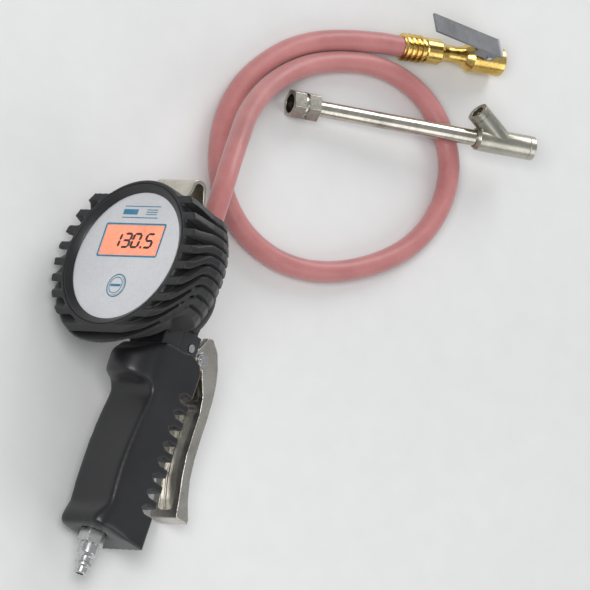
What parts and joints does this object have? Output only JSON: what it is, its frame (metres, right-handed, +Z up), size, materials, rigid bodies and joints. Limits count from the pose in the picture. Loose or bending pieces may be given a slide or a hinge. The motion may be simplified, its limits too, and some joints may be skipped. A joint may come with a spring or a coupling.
{
  "type": "tyre inflator with gauge",
  "caption": "Hand-held tyre inflator: a round digital gauge in a finned rubber boot on a squeeze valve with a grip, a looped hose with a clip-on chuck, and a loose dual-foot extension.",
  "frame": {"origin": "centre of the footprint of the inflator and its loose extension, on the surface they lie on; the hose and its chuck are left out", "axes": "+Z up from the surface; +Y along the inflator from its inlet plug to its gauge; +X from the gauge's dial towards the squeeze lever"},
  "size_m": [0.2906, 0.4518, 0.1172],
  "materials": {
    "boot_rubber": "matte moulded rubber",
    "black_plastic": "moulded",
    "bezel_plastic": "satin moulded",
    "dial_silver": "brushed",
    "display_lens": "clear",
    "display_orange": "backlit",
    "board_green": "solder mask",
    "bright_steel": "bright",
    "brass": "machined",
    "seal_rubber": "moulded",
    "hook_steel": "satin",
    "body_casting": "satin painted casting",
    "lever_metal": "satin cast",
    "grip_rubber": "soft-touch moulded",
    "plug_steel": "satin plated",
    "hose_rubber": "wrapped rubber",
    "clip_steel": "zinc plated",
    "nickel": "satin nickel",
    "head_metal": "satin nickel"
  },
  "bodies": {
    "inflator": {"boot": "boot_rubber", "gauge_case": "black_plastic", "bezel": "bezel_plastic", "face_plate": "dial_silver", "display_window": "display_lens", "display_panel": "display_orange", "button_switch": "black_plastic", "circuit_board": "board_green", "battery": "bright_steel", "battery_holder": "black_plastic", "pressure_sensor": "bright_steel", "gauge_stem": "brass", "gauge_stem_nut": "bright_steel", "gauge_o_ring": "seal_rubber", "hanging_hook": "hook_steel", "hook_screws": "bright_steel", "valve_body": "body_casting", "valve_seat": "brass", "valve_spring": "bright_steel", "gland_nut": "brass", "cross_pin": "bright_steel", "lever_pin": "bright_steel", "pin_clips": "bright_steel", "grip": "grip_rubber", "air_tube": "bright_steel", "inlet_plug": "plug_steel", "inlet_screen": "brass", "hose_fitting": "brass", "hose_ferrule": "brass", "hose": "hose_rubber", "chuck_ferrule": "brass", "chuck_body": "brass", "chuck_gasket": "seal_rubber", "chuck_pusher": "brass", "clip_pin": "bright_steel", "clip_spring": "bright_steel"},
    "lever": {"squeeze_lever": "lever_metal"},
    "valve": {"valve_stem": "brass", "stem_seal": "seal_rubber"},
    "button": {"push_button": "dial_silver"},
    "clip": {"clip_lever": "clip_steel"},
    "extension": {"extension_tube": "nickel", "dual_head": "head_metal", "foot_caps": "head_metal", "foot_gaskets": "seal_rubber", "foot_pushers": "brass", "nut_washer": "seal_rubber"},
    "ext_nut": {"swivel_nut": "nickel"}
  },
  "joints": [
    {"name": "lever_squeeze", "type": "hinge", "parent": "inflator", "child": "lever", "pos_m": [-0.05242, -0.04725, 0.03465], "axis": [-0.309, 0.1373, -0.9411], "range_deg": [0, 14], "stiffness_Nm_per_rad": 0.6, "springref_deg": -14.32},
    {"name": "stem_push", "type": "slide", "parent": "inflator", "child": "valve", "axis": [-0.9511, -0.0446, 0.3058], "range_m": [0, 0.0036]},
    {"name": "button_press", "type": "slide", "parent": "inflator", "child": "button", "axis": [0.9511, 0.0446, -0.3058], "range_m": [0, 0.0004], "stiffness_N_per_m": 1500, "springref_m": -0.0005},
    {"name": "clip_press", "type": "hinge", "parent": "inflator", "child": "clip", "pos_m": [0.09912, 0.24006, 0.0208], "axis": [0.2824, -0.9237, 0.2588], "range_deg": [0, 12], "stiffness_Nm_per_rad": 0.3, "springref_deg": -11.46},
    {"name": "extension_lift", "type": "slide", "parent": "inflator", "child": "extension", "axis": [0, 0, 1], "range_m": [0, 0.1]},
    {"name": "nut_spin", "type": "hinge", "parent": "extension", "child": "ext_nut", "pos_m": [-0.0173, 0.1518, 0.0086], "axis": [0.9684, 0.2271, 0.1028], "continuous": true}
  ],
  "couplings": [
    {"joint": "stem_push", "follows": "lever_squeeze", "m_per_rad": 0.0145}
  ]
}
